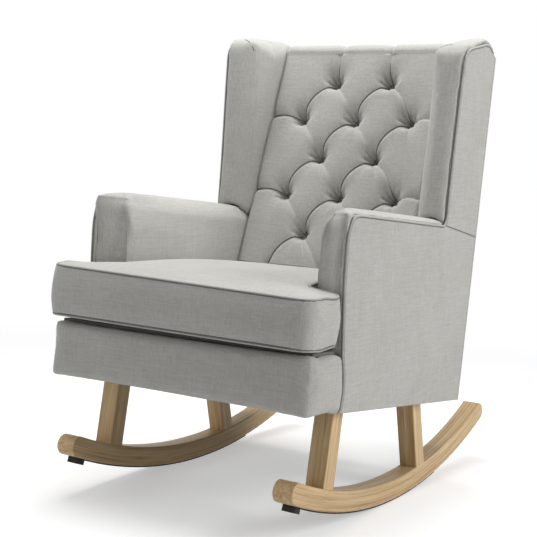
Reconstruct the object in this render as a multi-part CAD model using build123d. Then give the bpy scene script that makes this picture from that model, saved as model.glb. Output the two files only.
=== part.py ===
"""Upholstered wingback rocking chair: one STEP file per sub-part.

Everything is laid out in the body frame, in millimetres: X across the chair, Y rearwards from the front
face of the seat base, Z up from the bottom edge of that face. at_rest() then turns the whole chair by the
angle at which it balances on its rockers and stands it on the floor.
"""

import os
from math import atan2, cos, degrees, radians, sin, sqrt, tan

from build123d import *

# --- overall ---------------------------------------------------------------------------------------
WIDTH = 650.0
REST_TILT = 3.7  # degrees that the body leans back where it balances

# --- covers and soft parts -------------------------------------------------------------------------
SKIN = 12.0  # outer covers with their wadding and board
SOFT_GAP = 0.4  # between soft parts of two bodies
BORDER_HEIGHT = 121.0
BORDER_T = 20.0  # front border padding
BORDER_DEPTH = 124.0  # how far the border runs back along each side
BORDER_CORNER_R = 14.0
ARM_W = 81.5  # arm and wing thickness
ARM_FRONT = 106.0
ARM_EDGE = 397.0  # height of the outer edge of the arm top
ARM_CREST = 412.0
ARM_NOSE_R = 60.0  # rounded front end of the arm top
ARM_ROLL_R = 38.0  # rounded inner edge of the arm top
WING_FRONT = 580.0
WING_LIP = 10.0  # the outer wing cover starts this far behind the wing's front
WING_NOSE_R = 34.0
WING_DROP = 10.0  # top of the wings below the top of the back
WING_TOP_R = 32.0
WING_SEAM_RISE = 1.0  # seam under the wing cover, above the edge of the arm at the wing's front
WING_SEAM_FALL = 17.0  # and how far it drops on its way to the rear
BACK_TOP = 852.0
BACK_ROLL_R = 26.0

# --- rake of the back and underside of the base ----------------------------------------------------
RAKE_FOOT = 764.0  # rear face at height 0
RAKE_SLOPE = 0.0594
UNDER_SLOPE = 0.0363  # the underside drops rearwards of the border
FRAME_LIP = 6.0  # covers reach this far below the frame

# --- back pad and buttons --------------------------------------------------------------------------
BUTTON_Z = 453.0  # height of row 0
BUTTON_PAD_T = 54.3  # padding behind the buttons of row 0
BUTTON_PAD_TOP_T = 27.3  # and of the top row
BUTTON_PITCH_X = 153.0
BUTTON_PITCH_Z = 99.0
BUTTON_ROWS = (-1, 0, 1, 2, 3)  # rows counted from BUTTON_Z; odd rows hold two buttons
BUTTON_R = 12.0
BUTTON_T = 9.0
BUTTON_WELL_R = 13.0
PAD_PROUD = 25.0  # padding in front of the button row
PAD_HEM_GAP = 10.0  # between the tufted padding and the seat cushion under it
BACK_FRAME_D = 101.6  # from the rear face to the padding, at BACK_FRAME_Z
BACK_FRAME_Z = 330.0
BACK_FRAME_TOP_D = 34.1  # and at the top of the posts
TAIL_T = 12.0  # cover drawn down behind the seat cushion
TAIL_GAP = 2.0  # between that cover and the rear rail

# --- timber frame ----------------------------------------------------------------------------------
FRAME_T = 22.0
RAIL_TOP = 108.0
REAR_RAIL_INSET = 110.0  # front face of the rear rail, forward of the rear face's foot
POST_W = 36.0
BACK_ROLL_T = 24.0  # padding over the top of the posts
POST_KNEE = 240.0  # the posts lean back from this height up
BACK_RAIL_T = 20.0
BACK_RAIL_H = 42.0
BACK_RAIL_LOWER = 262.0  # lower edge of each rail
BACK_RAIL_MIDDLE = 560.0
BACK_RAIL_TOP_GAP = 2.0  # between the top rail and the top of the posts
ARM_POST_INSET = 26.0  # padding in front of the arm post
ARM_POST_W = 54.0
ARM_RAIL_H = 35.0
ARM_PAD_T = 40.0  # padding over the arm rail
WING_BOARD_INSET = 26.0  # padding in front of the wing board
WING_BOARD_REACH = 97.0  # the wing board reaches this far below the arm's edge
CORNER_BLOCK = 42.0
CORNER_BLOCK_H = 70.0

# --- springs, webbing, deck ------------------------------------------------------------------------
SPRING_COUNT = 5
SPRING_PITCH = 92.0
WIRE_D = 4.0
SPRING_SWING = 26.0  # half width of the zigzag
SPRING_STEP = 44.0
SPRING_BEND_R = 9.0
CLIP_W = 26.0
CLIP_D = 14.0
CLIP_H = 8.0
CLIP_PLAY = 0.2
WEB_T = 2.0
WEB_W = 50.0
WEB_ROWS = (330.0, 410.0, 490.0, 630.0, 710.0)
DECK_FOOT = 118.0
DECK_TOP = 125.0
DUST_T = 1.5

# --- seat cushion and zip --------------------------------------------------------------------------
CUSHION_FRONT = -24.0
CUSHION_REAR_GAP = 18.0
CUSHION_SIDE_GAP = 1.5  # each side, between the arms
CUSHION_EAR_GAP = 2.0  # behind the ears, in front of the arms
CUSHION_FOOT = DECK_TOP + 0.5
CUSHION_EDGE = 240.0  # top edge at the front
CUSHION_BACK_TOP = 268.0
CUSHION_CORNER_R = 30.0
CUSHION_EAR_R = 22.0
ZIP_LENGTH = 420.0
ZIP_TAPE_W = 24.0
ZIP_TAPE_T = 1.0
ZIP_CHAIN_W = 6.0
ZIP_CHAIN_T = 2.6
ZIP_Z = 182.0
SLIDER_L = 12.0
SLIDER_WALL = 1.4
SLIDER_PLAY = 0.4
PULL_L = 24.0
PULL_W = 7.0
PULL_T = 1.6

# --- legs and rockers ------------------------------------------------------------------------------
ROCKER_R = 1274.0  # radius of the underside
ROCKER_CENTRE_Y = 417.4
ROCKER_CENTRE_Z = 1040.1
ROCKER_T = 45.0
ROCKER_W = 46.0
ROCKER_INSET = 49.0  # middle of each rocker, inside the full width
ROCKER_FRONT_ANGLE = -17.8  # degrees about the centre, rearwards positive
ROCKER_REAR_ANGLE = 27.6
ROCKER_CHAMFER = 12.0
LEG_W = 44.0
FRONT_LEG_TOP_Y = 178.0
FRONT_LEG_LEAN = -5.5  # degrees, positive leans rearwards going down
REAR_LEG_INSET = 88.0  # middle of the rear leg's top, forward of the rear rail
REAR_LEG_LEAN = 18.6
TIMBER_EDGE_R = 2.5  # rounded long edges of the legs and rockers
LEG_BLOCK_H = 62.0
LEG_BLOCK_D = 90.0
BOLT_R = 4.0
BOLT_UP = 50.0
BOLT_DOWN = 60.0
SCREW_R = 3.0
SCREW_L = 92.0
SCREW_HEAD_R = 6.5
SCREW_HEAD_T = 4.0
SCREW_SINK = 0.3  # head below the floor of the strip's groove
BORE_PLAY = 0.15
STRIP_W = 40.0
STRIP_T = 4.0
STRIP_PROUD = 3.0
STRIP_FRONT_ANGLE = -14.4
STRIP_REAR_ANGLE = 13.4
GROOVE_PLAY = 0.2
STOP_L = 24.0
STOP_W = 30.0
STOP_H = 13.0
STOP_SETBACK = 16.0  # the stop starts this far behind the rocker's rounded front end
STOP_EDGE_R = 2.5
STOP_SCREW_R = 2.0
STOP_SCREW_L = 26.0
STOP_SCREW_SINK = 6.0
STOP_SCREW_HEAD_R = 4.0
STOP_SCREW_HEAD_T = 2.5
STOP_SCREW_PITCH = 14.0

HALF = WIDTH / 2
FRAME_X = HALF - SKIN
ROCKER_X = HALF - ROCKER_INSET
REAR_RAIL_Y = RAKE_FOOT - REAR_RAIL_INSET
REAR_LEG_TOP_Y = REAR_RAIL_Y - REAR_LEG_INSET
TAIL_Y = REAR_RAIL_Y - TAIL_GAP - TAIL_T
CUSHION_REAR = TAIL_Y - CUSHION_REAR_GAP
PAD_HEM = CUSHION_BACK_TOP + PAD_HEM_GAP
WING_TOP = BACK_TOP - WING_DROP
WING_COVER_TOP = WING_TOP - SKIN
WING_PIPING = WING_FRONT + WING_LIP
WING_SEAM_FRONT = ARM_EDGE + WING_SEAM_RISE
WING_SEAM_REAR = WING_SEAM_FRONT - WING_SEAM_FALL
WING_BOARD_FRONT = WING_FRONT + WING_BOARD_INSET
WING_BOARD_FOOT = ARM_EDGE - WING_BOARD_REACH
ARM_POST_Y = ARM_FRONT + ARM_POST_INSET
ARM_RAIL_TOP = ARM_CREST - ARM_PAD_T
POST_TOP = BACK_TOP - BACK_ROLL_T
PAD_REAR_SLOPE = RAKE_SLOPE + (BACK_FRAME_D - BACK_FRAME_TOP_D) / (POST_TOP - BACK_FRAME_Z)
BUTTON_RISE = BUTTON_PITCH_Z * max(BUTTON_ROWS)
BUTTON_SLOPE = PAD_REAR_SLOPE + (BUTTON_PAD_T - BUTTON_PAD_TOP_T) / BUTTON_RISE
BACK_RAILS = {
    "lower": BACK_RAIL_LOWER,
    "middle": BACK_RAIL_MIDDLE,
    "top": POST_TOP - BACK_RAIL_TOP_GAP - BACK_RAIL_H,
}
INNER_X = HALF - ARM_W
RAIL_X = FRAME_X - FRAME_T
POST_X = RAIL_X - POST_W
SIDES = {"left": -1, "right": 1}
FAR = 3000.0


# --- shapes ----------------------------------------------------------------------------------------
def block(x0, x1, y0, y1, z0, z1):
    middle = Pos((x0 + x1) / 2, (y0 + y1) / 2, (z0 + z1) / 2)
    return middle * Box(abs(x1 - x0), abs(y1 - y0), abs(z1 - z0))


def solid_of(shape):
    return max(shape.solids(), key=lambda s: s.volume)


def from_side(edges, x0, x1):
    """Extrude an outline, drawn as (y, z), from x0 to x1."""
    low, high = sorted((x0, x1))
    face = Plane(origin=(low, 0, 0), x_dir=(0, 1, 0), z_dir=(1, 0, 0)) * make_face(edges)
    return extrude(face, amount=high - low, dir=(1, 0, 0))


def from_front(edges, y0, y1):
    """Extrude an outline, drawn as (x, z), from y0 to y1."""
    face = Plane(origin=(0, y0, 0), x_dir=(1, 0, 0), z_dir=(0, -1, 0)) * make_face(edges)
    return extrude(face, amount=y1 - y0, dir=(0, 1, 0))


def from_above(edges, z0, z1):
    """Extrude an outline, drawn as (x, y), from z0 to z1."""
    return extrude(Pos(0, 0, z0) * make_face(edges), amount=z1 - z0, dir=(0, 0, 1))


def outline(points, radii=None):
    """A closed outline with straight sides; radii rounds the corners that it names by number."""
    loop = Polyline(*points, close=True)
    for index, radius in (radii or {}).items():
        corner = min(loop.vertices(), key=lambda v: (Vector(*v) - Vector(*points[index])).length)
        loop = fillet(corner, radius)
    return loop.edges()


def tilted(slope):
    return degrees(atan2(slope, 1.0))


def side_box(sign, x0, x1, y0, y1, z0, z1):
    return block(sign * x0, sign * x1, y0, y1, z0, z1)


# --- slanted faces that several pieces share -------------------------------------------------------
def rake(z):
    return RAKE_FOOT + RAKE_SLOPE * z


def rake_inner(z):
    return rake(z) - SKIN


def under(y):
    return -UNDER_SLOPE * max(0.0, y - BORDER_DEPTH)


def frame_foot(y):
    return under(y) + FRAME_LIP


def button_face(z):
    return pad_rear(BUTTON_Z) - BUTTON_PAD_T + BUTTON_SLOPE * (z - BUTTON_Z)


def pad_rear(z):
    return rake(BACK_FRAME_Z) - BACK_FRAME_D + PAD_REAR_SLOPE * (z - BACK_FRAME_Z)


def post_front(z):
    return pad_rear(z) + WEB_T + SOFT_GAP


# --- rockers: polar points about the rocker's centre -----------------------------------------------
def polar(radius, angle):
    a = radians(angle)
    return (ROCKER_CENTRE_Y + radius * sin(a), ROCKER_CENTRE_Z - radius * cos(a))


def angle_at(y, radius):
    return degrees(atan2(y - ROCKER_CENTRE_Y, sqrt(radius**2 - (y - ROCKER_CENTRE_Y) ** 2)))


def arc_band(r0, r1, a0, a1, x0, x1):
    middle = (a0 + a1) / 2
    edges = [
        ThreePointArc(polar(r1, a0), polar(r1, middle), polar(r1, a1)),
        Line(polar(r1, a1), polar(r0, a1)),
        ThreePointArc(polar(r0, a1), polar(r0, middle), polar(r0, a0)),
        Line(polar(r0, a0), polar(r1, a0)),
    ]
    return from_side(edges, x0, x1)


def rocker_blank(x0, x1):
    top = ROCKER_R - ROCKER_T
    step = degrees(ROCKER_CHAMFER / ROCKER_R)
    bulge = degrees(ROCKER_T / 2 / ROCKER_R)
    a0 = ROCKER_FRONT_ANGLE
    a1 = ROCKER_REAR_ANGLE
    middle = (a0 + a1) / 2
    edges = [
        ThreePointArc(polar(ROCKER_R, a0), polar(ROCKER_R, middle), polar(ROCKER_R, a1 - step)),
        Line(polar(ROCKER_R, a1 - step), polar(ROCKER_R - ROCKER_CHAMFER, a1)),
        Line(polar(ROCKER_R - ROCKER_CHAMFER, a1), polar(top + ROCKER_CHAMFER, a1)),
        Line(polar(top + ROCKER_CHAMFER, a1), polar(top, a1 - step)),
        ThreePointArc(polar(top, a1 - step), polar(top, middle), polar(top, a0)),
        ThreePointArc(polar(top, a0), polar((ROCKER_R + top) / 2, a0 - bulge), polar(ROCKER_R, a0)),
    ]
    return from_side(edges, x0, x1)


# --- legs ------------------------------------------------------------------------------------------
LEGS = {
    "front": (FRONT_LEG_TOP_Y, FRONT_LEG_LEAN),
    "rear": (REAR_LEG_TOP_Y, REAR_LEG_LEAN),
}


def leg_axis_y(which, z):
    top_y, lean = LEGS[which]
    return top_y + (frame_foot(top_y) - z) * tan(radians(lean))


def leg_foot(which):
    """Point where the middle of the leg meets the top of the rocker."""
    radius = ROCKER_R - ROCKER_T
    z = -ROCKER_R
    for _ in range(12):
        y = leg_axis_y(which, z)
        z = ROCKER_CENTRE_Z - sqrt(radius**2 - (y - ROCKER_CENTRE_Y) ** 2)
    return leg_axis_y(which, z), z


def leg_blank(which, sign):
    """The leg before it is bored, from the frame down to the rocker's top face."""
    half = LEG_W / 2 / cos(radians(LEGS[which][1]))
    low = leg_foot(which)[1] - ROCKER_T
    y0 = leg_axis_y(which, 0) - half
    y1 = leg_axis_y(which, 0) + half
    shift = leg_axis_y(which, low) - leg_axis_y(which, 0)
    points = [(y0, frame_foot(y0)), (y1, frame_foot(y1)), (y1 + shift, low), (y0 + shift, low)]
    x0 = sign * (ROCKER_X - LEG_W / 2)
    x1 = sign * (ROCKER_X + LEG_W / 2)
    blank = from_side(outline(points), x0, x1)
    long_edges = [e for e in blank.edges() if e.length > 2 * LEG_W]
    blank = fillet(long_edges, TIMBER_EDGE_R)
    disc = Plane(origin=(min(x0, x1), ROCKER_CENTRE_Y, ROCKER_CENTRE_Z), z_dir=(1, 0, 0)) * Cylinder(
        ROCKER_R - ROCKER_T, LEG_W, align=(Align.CENTER, Align.CENTER, Align.MIN)
    )
    return blank & disc


def leg_rod(which, sign, radius, z_low, z_high):
    """A round rod along the leg's own axis between two heights."""
    low = Vector(sign * ROCKER_X, leg_axis_y(which, z_low), z_low)
    high = Vector(sign * ROCKER_X, leg_axis_y(which, z_high), z_high)
    start = Plane(origin=low, z_dir=high - low)
    return start * Cylinder(radius, (high - low).length, align=(Align.CENTER, Align.CENTER, Align.MIN))


def screw_line(which, sign, radius, start, length):
    """A rod from the rocker's underside up into the leg, square to the underside."""
    angle = angle_at(leg_foot(which)[0], ROCKER_R)
    y, z = polar(ROCKER_R - start, angle)
    up = Vector(0, ROCKER_CENTRE_Y - y, ROCKER_CENTRE_Z - z)
    base = Plane(origin=(sign * ROCKER_X, y, z), z_dir=up)
    return base * Cylinder(radius, length, align=(Align.CENTER, Align.CENTER, Align.MIN))


def rocker_screw(which, sign, play=0.0):
    """Flat-headed screw, sunk into the floor of the strip's groove; play makes its bore."""
    floor = STRIP_T - STRIP_PROUD
    start = 0.0 if play else floor + SCREW_SINK
    reach = floor + SCREW_SINK - start
    head = screw_line(which, sign, SCREW_HEAD_R + play, start, reach + SCREW_HEAD_T + play)
    return head + screw_line(which, sign, SCREW_R + play, start, reach + SCREW_L + play)


def leg_bolt(which, sign, play=0.0):
    top_y = LEGS[which][0]
    seat = frame_foot(top_y)
    return leg_rod(which, sign, BOLT_R + play, seat - BOLT_DOWN - play, seat + BOLT_UP + play)


def legs():
    made = {}
    for which in LEGS:
        for side, sign in SIDES.items():
            leg = leg_blank(which, sign) - rocker_screw(which, sign, BORE_PLAY)
            made[f"{which}_leg_{side}"] = leg - leg_bolt(which, sign, BORE_PLAY)
    made["leg_bolts"] = [leg_bolt(which, sign) for which in LEGS for sign in SIDES.values()]
    made["rocker_screws"] = [rocker_screw(which, sign) for which in LEGS for sign in SIDES.values()]
    return made


def leg_blocks():
    blocks = []
    for which in LEGS:
        for sign in SIDES.values():
            middle = LEGS[which][0]
            y0 = middle - LEG_BLOCK_D / 2
            y1 = middle + LEG_BLOCK_D / 2
            points = [
                (y0, frame_foot(y0)),
                (y1, frame_foot(y1)),
                (y1, frame_foot(y1) + LEG_BLOCK_H),
                (y0, frame_foot(y1) + LEG_BLOCK_H),
            ]
            shape = from_side(outline(points), sign * (ROCKER_X - LEG_W / 2 - 6), sign * RAIL_X)
            blocks.append(shape - leg_bolt(which, sign, BORE_PLAY))
    return {"leg_blocks": blocks}


# --- rockers, strips and stops ---------------------------------------------------------------------
def stop_plane(sign):
    """Plane on the rocker's underside at the middle of the stop, facing down."""
    angle = ROCKER_FRONT_ANGLE + degrees((STOP_SETBACK + STOP_L / 2) / ROCKER_R)
    y, z = polar(ROCKER_R, angle)
    down = Vector(0, sin(radians(angle)), -cos(radians(angle)))
    return Plane(origin=(sign * ROCKER_X, y, z), x_dir=(1, 0, 0), z_dir=down)


def stop_screw(sign, offset, play=0.0):
    base = stop_plane(sign) * Pos(offset, 0, STOP_H - STOP_SCREW_SINK)
    bottom = (Align.CENTER, Align.CENTER, Align.MAX)
    top = (Align.CENTER, Align.CENTER, Align.MIN)
    shank = Cylinder(STOP_SCREW_R + play, STOP_SCREW_L + play, align=bottom)
    head = Cylinder(STOP_SCREW_HEAD_R + play, STOP_SCREW_HEAD_T, align=top)
    return base * (shank + head)


def stop(sign):
    sunk = 1.0  # buried in the rocker so that the curved faces meet; cut back below
    base = stop_plane(sign) * Pos(0, 0, -sunk)
    rubber = Box(STOP_W, STOP_L, STOP_H + sunk, align=(Align.CENTER, Align.CENTER, Align.MIN))
    shape = base * fillet(rubber.edges().filter_by(Axis.Z), STOP_EDGE_R)
    for offset in (-STOP_SCREW_PITCH / 2, STOP_SCREW_PITCH / 2):
        seat = stop_plane(sign) * Pos(offset, 0, STOP_H - STOP_SCREW_SINK)
        well = Cylinder(STOP_SCREW_HEAD_R + BORE_PLAY, STOP_H, align=(Align.CENTER, Align.CENTER, Align.MIN))
        shape = shape - seat * well - stop_screw(sign, offset, BORE_PLAY)
    x0 = sign * (ROCKER_X - ROCKER_W)
    x1 = sign * (ROCKER_X + ROCKER_W)
    return shape - rocker_blank(x0, x1)


def rockers():
    made = {"stop_screws": []}
    for side, sign in SIDES.items():
        x0 = sign * (ROCKER_X - ROCKER_W / 2)
        x1 = sign * (ROCKER_X + ROCKER_W / 2)
        s0 = sign * (ROCKER_X - STRIP_W / 2)
        s1 = sign * (ROCKER_X + STRIP_W / 2)
        g0 = sign * (ROCKER_X - STRIP_W / 2 - GROOVE_PLAY)
        g1 = sign * (ROCKER_X + STRIP_W / 2 + GROOVE_PLAY)
        floor = ROCKER_R - STRIP_T + STRIP_PROUD
        slack = degrees(GROOVE_PLAY / ROCKER_R)
        groove = arc_band(
            floor, ROCKER_R + ROCKER_T, STRIP_FRONT_ANGLE - slack, STRIP_REAR_ANGLE + slack, g0, g1
        )
        blank = rocker_blank(x0, x1)
        long_edges = [e for e in blank.edges() if e.length > 5 * ROCKER_T]
        rocker = fillet(long_edges, TIMBER_EDGE_R) - groove
        for which in LEGS:
            rocker = rocker - rocker_screw(which, sign, BORE_PLAY)
        for offset in (-STOP_SCREW_PITCH / 2, STOP_SCREW_PITCH / 2):
            rocker = rocker - stop_screw(sign, offset, BORE_PLAY)
            made["stop_screws"].append(stop_screw(sign, offset))
        made[f"rocker_{side}"] = rocker
        made[f"grip_strip_{side}"] = arc_band(
            floor, floor + STRIP_T, STRIP_FRONT_ANGLE, STRIP_REAR_ANGLE, s0, s1
        )
        made[f"anti_tip_stop_{side}"] = stop(sign)
    return made


# --- seat frame ------------------------------------------------------------------------------------
def seat_frame():
    front_y0 = BORDER_T
    front_y1 = BORDER_T + FRAME_T
    rear_y0 = REAR_RAIL_Y
    rear_y1 = REAR_RAIL_Y + FRAME_T
    rail_end = rake_inner(frame_foot(RAKE_FOOT))
    made = {
        "front_rail": block(-FRAME_X, FRAME_X, front_y0, front_y1, FRAME_LIP, RAIL_TOP),
        "rear_rail": from_side(
            outline(
                [
                    (rear_y0, frame_foot(rear_y0)),
                    (rear_y1, frame_foot(rear_y1)),
                    (rear_y1, RAIL_TOP),
                    (rear_y0, RAIL_TOP),
                ]
            ),
            -RAIL_X,
            RAIL_X,
        ),
    }
    side_points = [
        (front_y1, FRAME_LIP),
        (BORDER_DEPTH, FRAME_LIP),
        (rail_end, frame_foot(rail_end)),
        (rail_end, RAIL_TOP),
        (front_y1, RAIL_TOP),
    ]
    for side, sign in SIDES.items():
        made[f"side_rail_{side}"] = from_side(outline(side_points), sign * RAIL_X, sign * FRAME_X)
    blocks = []
    foot = RAIL_TOP - CORNER_BLOCK_H
    for sign in SIDES.values():
        for y, away in ((front_y1, 1), (rear_y0, -1)):
            corner = [
                (sign * RAIL_X, y),
                (sign * (RAIL_X - CORNER_BLOCK), y),
                (sign * RAIL_X, y + away * CORNER_BLOCK),
            ]
            blocks.append(from_above(outline(corner), foot, RAIL_TOP))
    made["corner_blocks"] = blocks
    return made


# --- back, arm and wing frame ----------------------------------------------------------------------
def back_rail(foot):
    """A cross rail that leans with the back, its front face in line with the posts."""
    lean = tilted(PAD_REAR_SLOPE)
    place = Pos(0, post_front(foot), foot) * Rot(X=-lean)
    rail = Box(2 * POST_X, BACK_RAIL_T, BACK_RAIL_H, align=(Align.CENTER, Align.MIN, Align.MIN))
    return place * rail


def back_frame():
    post_foot_y = REAR_RAIL_Y + FRAME_T
    low = frame_foot(post_foot_y)
    points = [
        (post_foot_y, low),
        (rake_inner(low), low),
        (rake_inner(POST_TOP), POST_TOP),
        (post_front(POST_TOP), POST_TOP),
        (post_front(POST_KNEE), POST_KNEE),
        (post_foot_y, RAIL_TOP),
    ]
    made = {f"back_rail_{name}": back_rail(z) for name, z in BACK_RAILS.items()}
    for side, sign in SIDES.items():
        made[f"back_post_{side}"] = from_side(outline(points), sign * POST_X, sign * RAIL_X)
    return made


def arm_frame():
    made = {}
    rail_foot = ARM_RAIL_TOP - ARM_RAIL_H
    post_end = ARM_POST_Y + ARM_POST_W
    for side, sign in SIDES.items():
        made[f"arm_post_{side}"] = side_box(
            sign, RAIL_X, FRAME_X, ARM_POST_Y, post_end, RAIL_TOP, rail_foot
        )
        made[f"arm_rail_{side}"] = side_box(
            sign, RAIL_X, FRAME_X, ARM_POST_Y, WING_BOARD_FRONT, rail_foot, ARM_RAIL_TOP
        )
    return made


def wing_boards():
    top = WING_COVER_TOP
    points = [
        (WING_BOARD_FRONT, WING_BOARD_FOOT),
        (rake_inner(WING_BOARD_FOOT), WING_BOARD_FOOT),
        (rake_inner(top), top),
        (WING_BOARD_FRONT, top),
    ]
    edges = outline(points, {3: 2 * WING_NOSE_R})
    return {
        f"wing_board_{side}": from_side(edges, sign * RAIL_X, sign * FRAME_X)
        for side, sign in SIDES.items()
    }


# --- springs, webbing, deck, dust cover ------------------------------------------------------------
def spring_ends():
    return BORDER_T + FRAME_T / 2, REAR_RAIL_Y + FRAME_T / 2


def spring_z():
    return RAIL_TOP + CLIP_H / 2


def seat_spring(x):
    """A zigzag spring whose two end runs lie in its clips."""
    y0, y1 = spring_ends()
    turns = 2 * int((y1 - y0) / SPRING_STEP / 2) + 1
    step = (y1 - y0) / turns
    points = [(x - SPRING_SWING, y0, spring_z())]
    for turn in range(turns):
        side = 1 if turn % 2 == 0 else -1
        points.append((x + side * SPRING_SWING, y0 + turn * step, spring_z()))
        points.append((x + side * SPRING_SWING, y0 + (turn + 1) * step, spring_z()))
    last = -1 if turns % 2 else 1
    points.append((x + last * SPRING_SWING, y1, spring_z()))
    path = FilletPolyline(*points, radius=SPRING_BEND_R)
    start = Plane(origin=points[0], z_dir=(1, 0, 0))
    return sweep(start * Circle(WIRE_D / 2), path=path)


def spring_clip(x, y):
    body = block(x - CLIP_W / 2, x + CLIP_W / 2, y - CLIP_D / 2, y + CLIP_D / 2, RAIL_TOP, RAIL_TOP + CLIP_H)
    tunnel = Plane(origin=(x - CLIP_W, y, spring_z()), z_dir=(1, 0, 0)) * Cylinder(
        WIRE_D / 2 + CLIP_PLAY, 2 * CLIP_W, align=(Align.CENTER, Align.CENTER, Align.MIN)
    )
    return body - tunnel


def springs():
    across = [(i - (SPRING_COUNT - 1) / 2) * SPRING_PITCH for i in range(SPRING_COUNT)]
    return {
        "seat_springs": [seat_spring(x) for x in across],
        "spring_clips": [spring_clip(x, y) for x in across for y in spring_ends()],
    }


def webbing():
    lean = tilted(PAD_REAR_SLOPE)
    straps = []
    for z in WEB_ROWS:
        place = Pos(0, post_front(z), z) * Rot(X=-lean)
        straps.append(place * Box(2 * RAIL_X - 10, WEB_T, WEB_W, align=(Align.CENTER, Align.MAX, Align.MIN)))
    return {"back_webbing": straps}


def t_outline(front, rear, wide, narrow, notch, corner_r=None, ear_r=None):
    points = [
        (-wide, front),
        (wide, front),
        (wide, notch),
        (narrow, notch),
        (narrow, rear),
        (-narrow, rear),
        (-narrow, notch),
        (-wide, notch),
    ]
    radii = {0: corner_r, 1: corner_r, 2: ear_r, 7: ear_r} if corner_r else {}
    return outline(points, radii)


def deck():
    edges = t_outline(BORDER_T, TAIL_Y, FRAME_X, INNER_X, ARM_FRONT)
    return {"seat_deck": from_above(edges, DECK_FOOT, DECK_TOP)}


def dust_cover():
    y0 = BORDER_T + FRAME_T / 3
    y1 = rake_inner(0) - FRAME_T / 3
    points = [
        (y0, FRAME_LIP - DUST_T),
        (BORDER_DEPTH, FRAME_LIP - DUST_T),
        (y1, frame_foot(y1) - DUST_T),
        (y1, frame_foot(y1)),
        (BORDER_DEPTH, FRAME_LIP),
        (y0, FRAME_LIP),
    ]
    reach = FRAME_X - FRAME_T / 3
    sheet = from_side(outline(points), -reach, reach)
    slack = 1.0
    for which in LEGS:
        middle = LEGS[which][0]
        half = LEG_W / 2 / cos(radians(LEGS[which][1])) + 4 * slack
        for sign in SIDES.values():
            x0 = ROCKER_X - LEG_W / 2 - slack
            notch = side_box(sign, x0, FRAME_X, middle - half, middle + half, -BORDER_HEIGHT, RAIL_TOP)
            sheet = sheet - notch
    return {"dust_cover": sheet}


# --- covers and pads -------------------------------------------------------------------------------
def front_border():
    outer = [(-HALF, 0), (HALF, 0), (HALF, BORDER_DEPTH), (-HALF, BORDER_DEPTH)]
    wrap = from_above(outline(outer, {0: BORDER_CORNER_R, 1: BORDER_CORNER_R}), 0, BORDER_HEIGHT)
    return {"front_border": wrap - block(-FRAME_X, FRAME_X, BORDER_T, FAR, -FAR, FAR)}


def side_panels():
    """Outer side covers: base side and arm side in one, with the raked rear edge."""
    foot = under(RAKE_FOOT)
    points = [
        (BORDER_DEPTH, 0),
        (rake_inner(foot), foot),
        (rake_inner(WING_SEAM_REAR), WING_SEAM_REAR),
        (WING_PIPING, WING_SEAM_FRONT),
        (ARM_FRONT + 2, ARM_EDGE),
        (ARM_FRONT + 2, BORDER_HEIGHT),
        (BORDER_DEPTH, BORDER_HEIGHT),
    ]
    edges = outline(points, {4: ARM_NOSE_R - 2})
    return {
        f"side_panel_{side}": from_side(edges, sign * FRAME_X, sign * HALF)
        for side, sign in SIDES.items()
    }


def wing_panels():
    top = WING_COVER_TOP
    points = [
        (WING_PIPING, WING_SEAM_FRONT),
        (rake_inner(WING_SEAM_REAR), WING_SEAM_REAR),
        (rake_inner(top), top),
        (WING_PIPING, top),
    ]
    edges = outline(points, {3: WING_NOSE_R})
    return {
        f"wing_panel_{side}": from_side(edges, sign * FRAME_X, sign * HALF)
        for side, sign in SIDES.items()
    }


def arm_shape(sign):
    """Arm padding from outside: domed across, rolled over on its inner side, rounded at the front end."""
    crest = (sign * (INNER_X + ARM_ROLL_R), ARM_CREST)
    outer_edge = (sign * HALF, ARM_EDGE)
    outer_bow = (sign * (INNER_X + ARM_ROLL_R + HALF) / 2, ARM_CREST - (ARM_CREST - ARM_EDGE) / 4)
    roll_foot = (sign * INNER_X, ARM_CREST - ARM_ROLL_R)
    inset = ARM_ROLL_R * (1 - cos(radians(45)))
    roll_bow = (sign * (INNER_X + inset), ARM_CREST - inset)
    dome = [
        Line((sign * INNER_X, RAIL_TOP), (sign * HALF, RAIL_TOP)),
        Line((sign * HALF, RAIL_TOP), outer_edge),
        ThreePointArc(outer_edge, outer_bow, crest),
        ThreePointArc(crest, roll_bow, roll_foot),
        Line(roll_foot, (sign * INNER_X, RAIL_TOP)),
    ]
    rear = TAIL_Y
    side = [(ARM_FRONT, RAIL_TOP), (rear, RAIL_TOP), (rear, ARM_CREST), (ARM_FRONT, ARM_CREST)]
    across = from_front(dome, ARM_FRONT, rear)
    return across & from_side(outline(side, {3: ARM_NOSE_R}), sign * INNER_X, sign * HALF)


def arm_pads(covers, frame):
    made = {}
    for side, sign in SIDES.items():
        pad = arm_shape(sign)
        cutters = (
            covers[f"side_panel_{side}"],
            covers[f"wing_panel_{side}"],
            covers["front_border"],
            frame[f"arm_post_{side}"],
            frame[f"arm_rail_{side}"],
            frame[f"wing_board_{side}"],
        )
        for cutter in cutters:
            pad = pad - cutter
        border = side_box(sign, FRAME_X, HALF, 0, BORDER_DEPTH, 0, BORDER_HEIGHT)
        made[f"arm_pad_{side}"] = solid_of(pad - border)
    return made


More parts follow.
